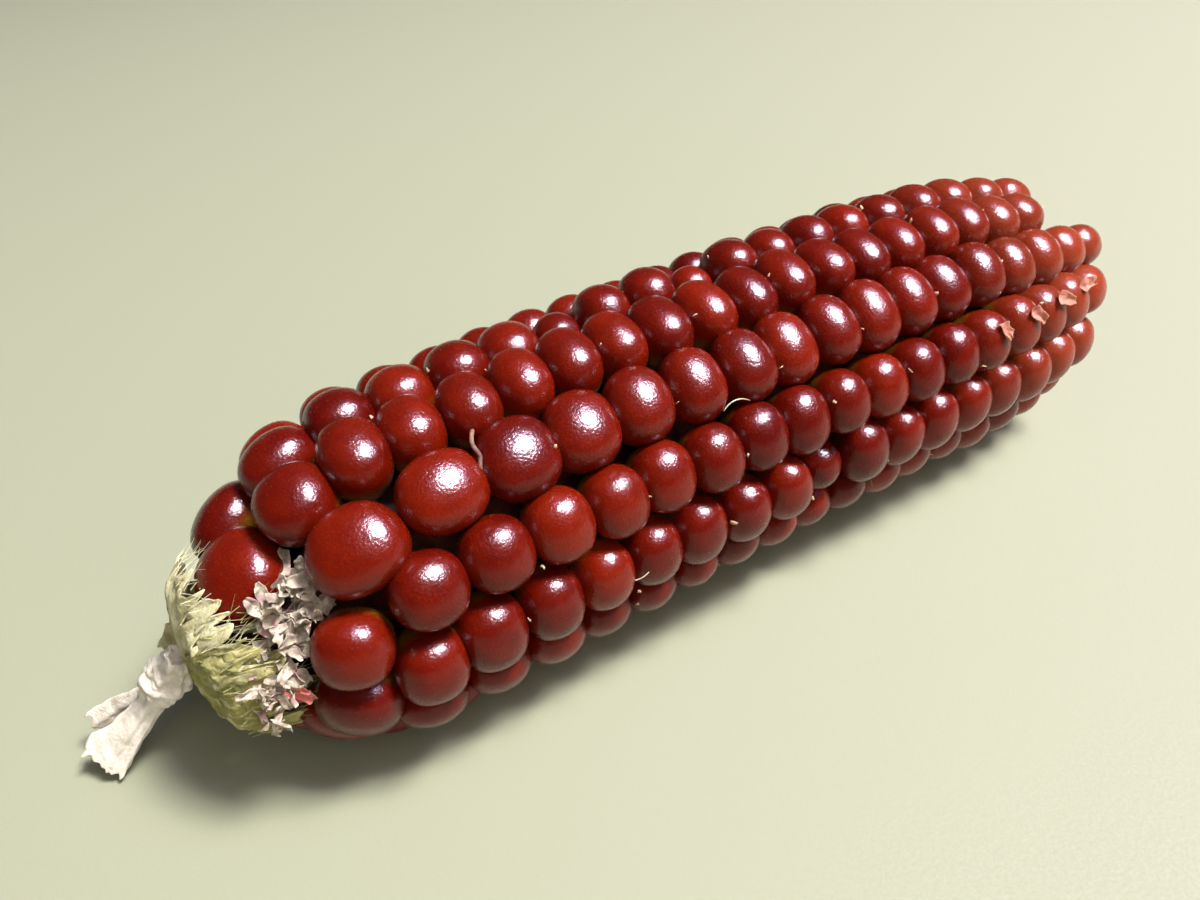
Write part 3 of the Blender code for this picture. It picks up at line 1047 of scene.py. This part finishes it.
@dataclass(frozen=True)
class Hair:
    """Dry silk hair: a thin bent thread."""

    name: str
    points: tuple[tuple[float, float, float], ...]  # along and radius in mm, and angle
    thickness: float = 0.07

    def build(self, material: bpy.types.Material, nodes: tuple[str, ...] = ()) -> bpy.types.Object:
        """Draws the hair as a round curve.

        Args:
            material: Its finish.
            nodes: CAD nodes that it stands for.

        Returns:
            The finished piece.
        """
        curve = thread_curve(self.name, self.thickness, 2, 8)
        spline = thread(curve, len(self.points), 4)
        for target, (along, radius, angle) in zip(spline.points, self.points):
            target.co = (*EAR.point(along * MM, radius * MM, math.radians(angle)), 1.0)
            target.radius = 1.0
        spline.points[-1].radius = 0.5
        return thread_piece(curve, material, nodes)


@dataclass
class Butt:
    """Husk base, chaff and shank at the butt of the ear."""

    sheath: Bract = Bract(
        "husk_sheath",
        (
            (-6.3, 0.4),
            (-6.1, 2.6),
            (-5.6, 4.6),
            (-4.6, 6.4),
            (-2.8, 7.5),
            (-0.4, 8.0),
            (2.6, 8.2),
        ),
        -44.0,
        84.0,
        crumple=0.7 * MM,
        ragged=0.4,
        wave=0.9 * MM,
        fineness=1.4,
    )
    tatters: Bract = Bract(
        "husk_tatters",
        ((-5.6, 4.4), (-4.6, 6.8), (-2.8, 8.0), (-0.4, 8.5), (1.6, 8.3)),
        -40.0,
        74.0,
        crumple=0.8 * MM,
        ragged=0.7,
        wave=0.7 * MM,
        fineness=1.4,
    )
    back: Bract = Bract(
        "husk_back",
        ((-6.3, 0.4), (-6.1, 2.8), (-5.3, 5.2), (-4.0, 6.6), (-2.2, 7.4)),
        36.0,
        284.0,
        crumple=0.45 * MM,
        ragged=0.5,
    )
    fold: Bract = Bract(
        "husk_fold",
        ((-5.4, 2.4), (-5.2, 4.4), (-4.4, 6.4), (-2.6, 7.6), (-0.8, 8.0)),
        26.0,
        42.0,
        crumple=0.6 * MM,
        ragged=0.6,
        wave=0.9 * MM,
    )
    shank: Stem = Stem(
        "shank",
        (
            (-6.6, 0.6, -0.8, 1.1, 1.0),
            (-7.3, 1.9, -2.6, 1.1, 1.0),
            (-7.9, 2.6, -3.8, 1.6, 1.5),
            (-8.5, 2.9, -4.6, 1.8, 1.6),
            (-9.1, 3.2, -5.4, 1.6, 1.4),
            (-9.8, 3.4, -6.2, 1.1, 1.0),
            (-11.2, 3.6, -7.6, 1.1, 0.8),
            (-12.7, 3.8, -8.9, 1.3, 0.7),
            (-14.2, 4.1, -10.2, 1.7, 0.7),
            (-15.3, 4.3, -11.1, 2.0, 0.8),
        ),
        lumps=0.1,
        lump_size=0.6,
        knuckle=0.35,
        rib_depth=0.14,
        sides=40,
        rings=40,
        frayed=1.5,
    )
    lobe: Stem = Stem(
        "husk_lobe",
        (
            (-9.4, 3.8, -5.8, 0.7, 0.6),
            (-11.0, 4.9, -6.8, 0.7, 0.45),
            (-12.8, 6.2, -8.0, 0.8, 0.4),
            (-14.3, 6.9, -9.0, 0.9, 0.4),
            (-15.2, 7.3, -9.5, 0.8, 0.35),
        ),
        ribs=5,
        rib_depth=0.12,
        lumps=0.2,
        frayed=1.2,
    )
    flap: Stem = Stem(
        "husk_flap",
        (
            (-6.6, 5.0, -1.4, 0.5, 0.12),
            (-7.0, 4.9, -2.6, 0.7, 0.12),
            (-7.7, 5.0, -3.3, 0.6, 0.12),
        ),
        ribs=3,
        frayed=0.6,
    )
    husk_fibres: Fibres = Fibres("husk_fibres", 90, (-4.5, -1.0), (-38.0, 50.0), 7.7, 3.2)
    cup_fibres: Fibres = Fibres("cup_fibres", 40, (-4.8, -3.0), (40.0, 110.0), 6.8, 2.4)
    chaff_groups: int = 6
    flakes: int = 18  # in a group
    chaff_along: tuple[float, float] = (-3.0, 3.2)
    chaff_radius: tuple[float, float] = (6.8, 8.9)
    chaff_middle: float = 0.8  # place along where the chaff's band crosses its angle
    chaff_angle: float = 30.0
    chaff_slant: float = 8.0  # degrees to a mm
    chaff_spread: float = 20.0

    # Grown husk leaf, torn off by hand: matt, ribbed and still a little moist, so that
    # light comes through its thin edges.
    fresh: Finish = PlantFinish(
        "fresh_husk_base",
        light="#A39C5E",
        dark="#75723A",
        pit="#4C4426",
        pits=0.35,
        tint="#C6BF96",
        translucent=0.4,
    )
    # The same leaf where it has dried to a thin pale skin.
    cream: Finish = PlantFinish(
        "membranous_husk",
        light="#CFC8A0",
        dark="#9C9668",
        pit="#54462E",
        pits=0.4,
        translucent=0.3,
    )
    # Pith and fibre of the snapped stem, bleached by the sun: chalky, with dark pores.
    dry: Finish = PlantFinish(
        "bleached_dry_shank",
        light="#E4DDD3",
        dark="#C9BFB2",
        pit="#8C7C6C",
        pits=0.2,
        cloud=1.1 * MM,
    )
    # Glumes, crushed where kernels fell out: dull grey paper with purple stains.
    paper: Finish = PlantFinish(
        "chaff_paper",
        light="#C4B8A6",
        dark="#7C6E60",
        pit="#4A3A34",
        pits=0.3,
        cloud=0.9 * MM,
        tint="#A8707C",
        tint_size=0.8 * MM,
        translucent=0.2,
    )
    # Glumes stained by the red cob: from a fresh one to thin scraps near the tip.
    pink: Finish = PlantFinish("pink_glume", light="#D87A70", dark="#A84A48", translucent=0.3)
    scrap: Finish = PlantFinish("cream_glume", light="#C8AC88", dark="#8C6C50", translucent=0.2)
    skin: Finish = PlantFinish("pink_membrane", light="#B8765E", dark="#8A4232", translucent=0.35)

    def glume_tips(self, rows: tuple[KernelRow, ...]) -> bpy.types.Object:
        """Scatters the small papery tips of glumes that show between the kernels.

        Args:
            rows: The rows of kernels that they stand beside.

        Returns:
            The finished piece.
        """
        dice = random.Random(SEED + 2)
        bm = bmesh.new()
        for number, row in enumerate(rows):
            for along in row.places()[2::2]:
                along += 0.5 * row.pitch
                angle = math.degrees(row.turn(along)) + dice.uniform(-9.0, 9.0)
                radius = EAR.crown_radius(along) - dice.uniform(0.9, 1.5) * MM
                turn = dice.uniform(-180.0, 180.0)
                lift = dice.uniform(20.0, 80.0)
                size = dice.uniform(0.2, 0.5)
                tip = Flake(along / MM, radius / MM, angle, turn, lift, size, 0.7 * size, (1, 2))
                tip.add_to(bm, number)
        return piece("glume_tips", bm, self.scrap.material(), (), 0, 0.06 * MM)

    def tip_flaps(self, row: KernelRow) -> bpy.types.Object:
        """Lays the pinkish papery flaps over the last kernels of a row.

        Args:
            row: The row that they lie on.

        Returns:
            The finished piece.
        """
        bm = bmesh.new()
        for number, along in enumerate(row.places()[-5:-1]):
            angle = math.degrees(row.turn(along)) + 7.0
            radius = EAR.crown_radius(along) / MM - 0.25
            flap = Flake(along / MM, radius, angle, 80.0 - 25.0 * number, -4.0, 1.7, 1.3)
            flap.add_to(bm, 50 + number)
        return piece("tip_flaps", bm, self.skin.material(), (), 1, 0.06 * MM)

    def build(self, first: Kernel) -> list[bpy.types.Object]:
        """Builds the husk base, chaff, shank and stubs.

        Args:
            first: The kernel that sits in the cup.

        Returns:
            The finished pieces.
        """
        cup = Cupule(
            "husk_cup",
            ((-4.6, 2.2), (-3.4, 3.1), (-1.8, 3.6), (-0.4, 3.75), (0.7, 3.7), (1.2, 3.95)),
            -176.0,
            168.0,
            crumple=0.34 * MM,
            ragged=0.45,
            wave=0.8 * MM,
            kernel=first.seat,
        )
        fresh = self.fresh.material()
        cream = self.cream.material()
        dry = self.dry.material()
        made = [
            self.sheath.build(fresh, Slot.HUSK, ("husk_collar",)),
            self.tatters.build(fresh, Slot.HUSK),
            self.back.build(cream, Slot.HUSK),
            cup.build(cream, Slot.HUSK),
            self.fold.build(cream, Slot.HUSK),
            self.husk_fibres.build(fresh, Slot.HUSK),
            self.cup_fibres.build(cream, Slot.HUSK),
            self.shank.build(dry, Slot.SHANK, ("shank",)),
            self.lobe.build(dry, Slot.SHANK, ("husk_lobe",)),
            self.flap.build(cream, Slot.SHANK, ("husk_flap",)),
        ]
        return made + self.chaff()

    def chaff(self) -> list[bpy.types.Object]:
        """Scatters papery scales where the first kernels are missing.

        Returns:
            The finished pieces, a group of scales each, and a pink glume.
        """
        finish = self.paper.material()
        dice = random.Random(SEED)
        made = []
        for number in range(1, self.chaff_groups + 1):
            bm = bmesh.new()
            for part in range(self.flakes):
                along = dice.uniform(*self.chaff_along)
                band = self.chaff_angle + self.chaff_slant * (along - self.chaff_middle)
                flake = Flake(
                    along,
                    dice.uniform(*self.chaff_radius),
                    band + dice.uniform(-self.chaff_spread, self.chaff_spread),
                    dice.uniform(-180.0, 180.0),
                    dice.uniform(-20.0, 70.0),
                    dice.uniform(0.7, 2.0),
                    dice.uniform(0.5, 1.2),
                )
                flake.add_to(bm, number * 31 + part)
            name = f"chaff_{number:02d}"
            node = f"chaff_scale_{number:02d}"
            made.append(piece(name, bm, finish, (node,), 1, 0.07 * MM))
        bm = bmesh.new()
        for angle in (-4.0, 4.0):
            Flake(-0.9, 8.1, angle, angle * 9.0, 25.0, 2.2, 1.3).add_to(bm, 7)
        made.append(piece("pink_chaff", bm, self.pink.material(), (), 1, 0.1 * MM))
        return made


@dataclass(frozen=True)
class CobTip:
    """Rounded end of the cob among the last kernels, rough with empty cupules."""

    past_end: float = 0.7 * MM
    radius: float = 5.0 * MM
    depth: float = 5.5 * MM
    pock_size: float = 1.5 * MM
    pock_depth: float = 0.5 * MM

    def build(self, material: bpy.types.Material) -> bpy.types.Object:
        """Rounds and pits the end of the cob.

        Args:
            material: Finish of the cob.

        Returns:
            The finished piece.
        """
        bm = bmesh.new()
        bmesh.ops.create_uvsphere(bm, u_segments=36, v_segments=22, radius=1.0)
        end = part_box("cob")[1].x - EAR.origin().x
        middle = EAR.point(end + self.past_end - self.depth, 0.0, 0.0)
        for vertex in bm.verts:
            x, y, z = vertex.co
            way = Vector((z * self.depth, x * self.radius, y * self.radius))
            pock = self.pock_depth * noise.noise((middle + way) / self.pock_size)
            vertex.co = middle + way + way.normalized() * pock
        return piece("cob_tip", bm, material, (), 1)


@dataclass
class SilkRemains:
    """Dry silk caught between the rows."""

    # Silk that withered in the groove: dull threads, brown outside and bleached inside.
    brown_silk: Finish = PlantFinish("brown_dry_silk", light="#8A5A44", dark="#4E2A20")
    pale_silk: Finish = PlantFinish("pale_dry_silk", light="#E4DCC8", dark="#B8A888")
    brown: Hair = Hair(
        "silk_curl",
        (
            (16.9, 13.0, 66.0),
            (16.4, 13.5, 63.0),
            (16.1, 13.5, 60.0),
            (16.7, 13.1, 57.0),
            (16.0, 12.9, 54.0),
            (16.3, 12.2, 51.0),
        ),
        0.16,
    )
    pale: tuple[Hair, ...] = (
        Hair(
            "silk_hair_a",
            ((35.6, 12.4, 38.0), (36.2, 13.2, 41.0), (36.9, 13.4, 40.0), (37.6, 13.2, 38.0)),
            0.05,
        ),
        Hair(
            "silk_hair_b",
            ((24.2, 12.4, -9.0), (24.8, 13.2, -7.0), (25.4, 13.5, -6.0), (26.2, 13.2, -4.0)),
            0.05,
        ),
    )

    def build(self) -> list[bpy.types.Object]:
        """Builds the brown curl and the pale hairs.

        Returns:
            The finished pieces.
        """
        brown = self.brown_silk.material()
        pale = self.pale_silk.material()
        made = [self.brown.build(brown, ("silk_hair_01",))]
        for number, hair in enumerate(self.pale, start=2):
            made.append(hair.build(pale, (f"silk_hair_{number:02d}",)))
        return made


@dataclass(frozen=True)
class Camera:
    """Camera at the viewing angle of the ear, near its butt and above its near side."""

    place: Vector = field(  # from the ear's origin
        default_factory=lambda: Vector((-0.68, -55.25, 50.78)) * MM
    )
    yaw: float = math.radians(61.07)
    pitch: float = math.radians(37.83)
    roll: float = math.radians(-4.97)
    lens: float = 27.65
    sensor: float = 36.0

    def build(self) -> bpy.types.Object:
        """Makes the camera and gives it to the scene.

        Returns:
            The camera's object.
        """
        level = Vector((math.sin(self.yaw), -math.cos(self.yaw), 0.0))
        ahead = Vector((math.cos(self.yaw), math.sin(self.yaw), 0.0))
        ahead = ahead * math.cos(self.pitch) - Vector((0.0, 0.0, math.sin(self.pitch)))
        over = level.cross(ahead)
        right = level * math.cos(self.roll) + over * math.sin(self.roll)
        up = over * math.cos(self.roll) - level * math.sin(self.roll)
        data = bpy.data.cameras.new("camera")
        data.lens = self.lens
        data.sensor_width = self.sensor
        data.clip_start = 5.0 * MM
        data.clip_end = 10.0
        made = bpy.data.objects.new("camera", data)
        bpy.context.scene.collection.objects.link(made)
        turn = Matrix((right, up, -ahead)).transposed().to_4x4()
        made.matrix_world = Matrix.Translation(EAR.origin() + self.place) @ turn
        bpy.context.scene.camera = made
        return made


@dataclass(frozen=True)
class Lamp:
    """One square studio lamp that looks at the ear."""

    name: str
    way: tuple[float, float, float]  # from the ear to the lamp
    distance: float
    size: float
    power: float
    colour: str = "#FFFFFF"
    diffuse: bool = True  # lights dull surfaces
    glossy: bool = True  # shows in glossy ones

    def build(self) -> bpy.types.Object:
        """Hangs the lamp and points it at the middle of the ear.

        Returns:
            The lamp's object.
        """
        data = bpy.data.lights.new(self.name, "AREA")
        data.energy = self.power
        data.size = self.size
        data.color = linear(self.colour)[:3]
        made = bpy.data.objects.new(self.name, data)
        bpy.context.scene.collection.objects.link(made)
        way = Vector(self.way).normalized()
        made.location = Vector((0.0, 0.0, 14.0 * MM)) + way * self.distance
        made.rotation_euler = way.to_track_quat("Z", "Y").to_euler()
        made.visible_diffuse = self.diffuse
        made.visible_transmission = self.diffuse
        made.visible_glossy = self.glossy
        return made


@dataclass
class Studio:
    """Plain pale floor and soft light."""

    floor_size: float = 3.0
    floor_colour: str = "#83866F"
    sky: str = "#EEF2F6"
    sky_strength: float = 0.07
    lamps: tuple[Lamp, ...] = (
        Lamp("key", (0.36, -0.30, 0.89), 1.2, 0.26, 36.0, "#FFFDF6", glossy=False),
        Lamp("window", (0.36, -0.30, 0.89), 1.2, 0.42, 140.0, "#FFFAF6", diffuse=False),
        Lamp("fill", (0.0, -0.7, 0.7), 1.3, 1.0, 9.0, "#FFF6EC", glossy=False),
        Lamp("halo", (0.38, -0.26, 0.88), 1.19, 0.72, 40.0, "#C8A8FF", diffuse=False),
    )

    def build(self) -> None:
        """Lays the floor, hangs the lamps and sets the sky."""
        bm = bmesh.new()
        bmesh.ops.create_grid(bm, x_segments=1, y_segments=1, size=0.5 * self.floor_size)
        mesh = bpy.data.meshes.new("floor")
        bm.to_mesh(mesh)
        bm.free()
        floor = bpy.data.objects.new("floor", mesh)
        bpy.context.scene.collection.objects.link(floor)
        # Seamless background paper, calendered to an even matt surface.
        finish = PlantFinish(
            "studio_paper",
            light=self.floor_colour,
            dark=self.floor_colour,
            relief=0.01 * MM,
            roughness=0.8,
            translucent=0.0,
        )
        mesh.materials.append(finish.material())
        for lamp in self.lamps:
            lamp.build()
        world = bpy.data.worlds.new("studio")
        world.use_nodes = True
        sky = world.node_tree.nodes["Background"]
        sky.inputs["Color"].default_value = linear(self.sky)
        sky.inputs["Strength"].default_value = self.sky_strength
        bpy.context.scene.world = world
        bpy.context.scene.view_settings.view_transform = "Standard"


def main() -> None:
    """Builds the ear and its studio."""
    logging.basicConfig(level=logging.INFO, format="%(message)s")
    noise.seed_set(SEED)
    Camera().build()
    Studio().build()
    kernels = Kernels()
    for made in kernels.build():
        log.info("%s: %d faces in its cage", made.name, len(made.data.polygons))
    first = kernels.rows[1].kernels(kernels.rows[0], kernels.rows[2])[0]
    butt = Butt()
    chaff = [butt.glume_tips(kernels.rows[:7]), butt.tip_flaps(kernels.rows[3])]
    for made in butt.build(first) + chaff + SilkRemains().build():
        log.info("%s", made.name)
    # Corky pith of a red cob, left rough where kernels grew.
    cob = PlantFinish("red_cob_pith", light="#5E2A1C", dark="#2C100A").material()
    log.info("%s", CobTip().build(cob).name)
    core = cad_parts["cob"]
    core.data.materials.clear()
    core.data.materials.append(cob)


if __name__ == "__main__":
    main()
